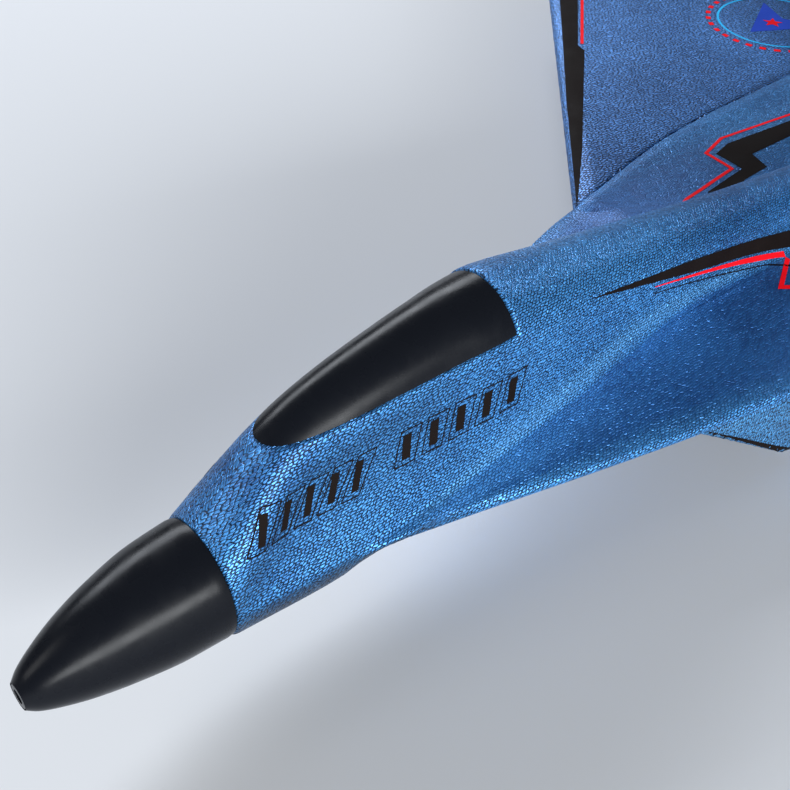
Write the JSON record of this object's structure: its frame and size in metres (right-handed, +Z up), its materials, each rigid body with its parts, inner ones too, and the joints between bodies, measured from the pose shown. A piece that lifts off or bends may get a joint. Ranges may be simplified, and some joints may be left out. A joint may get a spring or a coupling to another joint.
{
  "type": "foam radio-control jet",
  "caption": "Foam radio-control jet with pusher propellers, lift-off canopy, trim flaps and a slide switch.",
  "frame": {"origin": "middle of the underside, halfway between nose tip and tail, on the surface the plane rests on", "axes": "+X to the left (port) wing tip, +Y aft to the tail, +Z up"},
  "size_m": [0.3, 0.376, 0.0743],
  "materials": {
    "gloss_black_shell": "gloss black",
    "blue_foam": "pearl blue paint over grained foam, satin",
    "black_moulding": "fine matt",
    "slider_plastic": "matt",
    "spar_rod": "smooth fibre rod",
    "bright_steel": "bright",
    "motor_can": "drawn can",
    "propeller_plastic": "satin",
    "battery_wrap": "shrink wrap",
    "circuit_board": "solder mask",
    "lead_insulation": "soft insulation"
  },
  "bodies": {
    "airframe": {"battery": "battery_wrap", "battery_lead": "lead_insulation", "belly_pan": "blue_foam", "deck_magnet": "bright_steel", "fin_left": "blue_foam", "fin_right": "blue_foam", "fuselage": "blue_foam", "motor_lead_left": "lead_insulation", "motor_lead_right": "lead_insulation", "motor_left": "motor_can", "motor_mount_left": "black_moulding", "motor_mount_right": "black_moulding", "motor_right": "motor_can", "nose_cone": "gloss_black_shell", "nozzle_left": "black_moulding", "nozzle_right": "black_moulding", "receiver_board": "circuit_board", "switch_body": "black_moulding", "tailplane_left": "blue_foam", "tailplane_right": "blue_foam", "wing_left": "blue_foam", "wing_right": "blue_foam", "wing_spar": "spar_rod"},
    "canopy_hatch": {"canopy": "gloss_black_shell", "canopy_magnet": "bright_steel"},
    "prop_left": {"propeller_left": "propeller_plastic", "motor_shaft_left": "bright_steel"},
    "prop_right": {"propeller_right": "propeller_plastic", "motor_shaft_right": "bright_steel"},
    "trim_left": {"elevator_left": "blue_foam"},
    "trim_right": {"elevator_right": "blue_foam"},
    "switch_knob": {"switch_slider": "slider_plastic"}
  },
  "joints": [
    {"name": "canopy_lift", "type": "slide", "parent": "airframe", "child": "canopy_hatch", "axis": [0, 0, 1], "range_m": [0, 0.04]},
    {"name": "prop_left_spin", "type": "hinge", "parent": "airframe", "child": "prop_left", "pos_m": [0.0245, 0.135, 0.022], "axis": [0, 1, 0], "continuous": true},
    {"name": "prop_right_spin", "type": "hinge", "parent": "airframe", "child": "prop_right", "pos_m": [-0.0245, 0.135, 0.022], "axis": [0, 1, 0], "continuous": true},
    {"name": "trim_left_tilt", "type": "hinge", "parent": "airframe", "child": "trim_left", "pos_m": [0.073, 0.1753, 0.022], "axis": [1, 0, 0], "range_deg": [-20, 20]},
    {"name": "trim_right_tilt", "type": "hinge", "parent": "airframe", "child": "trim_right", "pos_m": [-0.073, 0.1753, 0.022], "axis": [1, 0, 0], "range_deg": [-20, 20]},
    {"name": "power_slide", "type": "slide", "parent": "airframe", "child": "switch_knob", "axis": [0, 1, 0], "range_m": [0, 0.002]}
  ]
}
